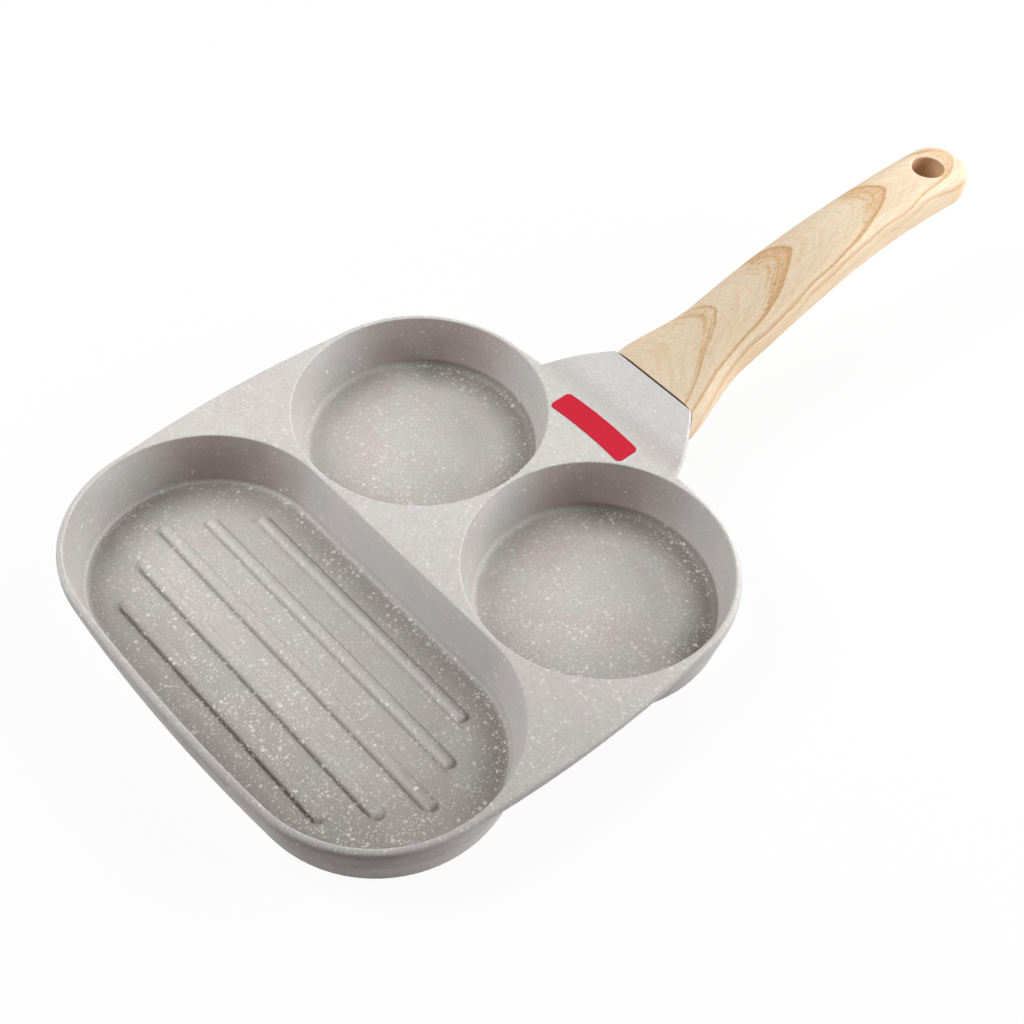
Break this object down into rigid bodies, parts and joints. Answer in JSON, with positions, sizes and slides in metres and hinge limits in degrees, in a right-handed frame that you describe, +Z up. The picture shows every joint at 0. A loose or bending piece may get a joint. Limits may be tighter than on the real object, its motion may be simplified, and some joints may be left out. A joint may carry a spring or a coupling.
{
  "type": "egg frying pan",
  "caption": "Cast frying pan with round egg wells beside a long ribbed grill well, on a sloping tang with a curved wood-look handle and a hang hole.",
  "frame": {"origin": "centre of the grill well's flat base, on the surface the pan stands on", "axes": "+Z up out of the wells, +Y along the handle away from the wells, +X to the right seen from the front"},
  "size_m": [0.2038, 0.3974, 0.0554],
  "materials": {
    "stone_coating": "semi-matt speckled non-stick coating",
    "red_enamel": "semi-gloss",
    "wood_look": "satin, printed with pale wood grain",
    "screw_steel": "satin"
  },
  "bodies": {
    "root": {"pan_body": "stone_coating", "badge": "red_enamel", "handle": "wood_look", "handle_screw": "screw_steel"}
  },
  "joints": []
}
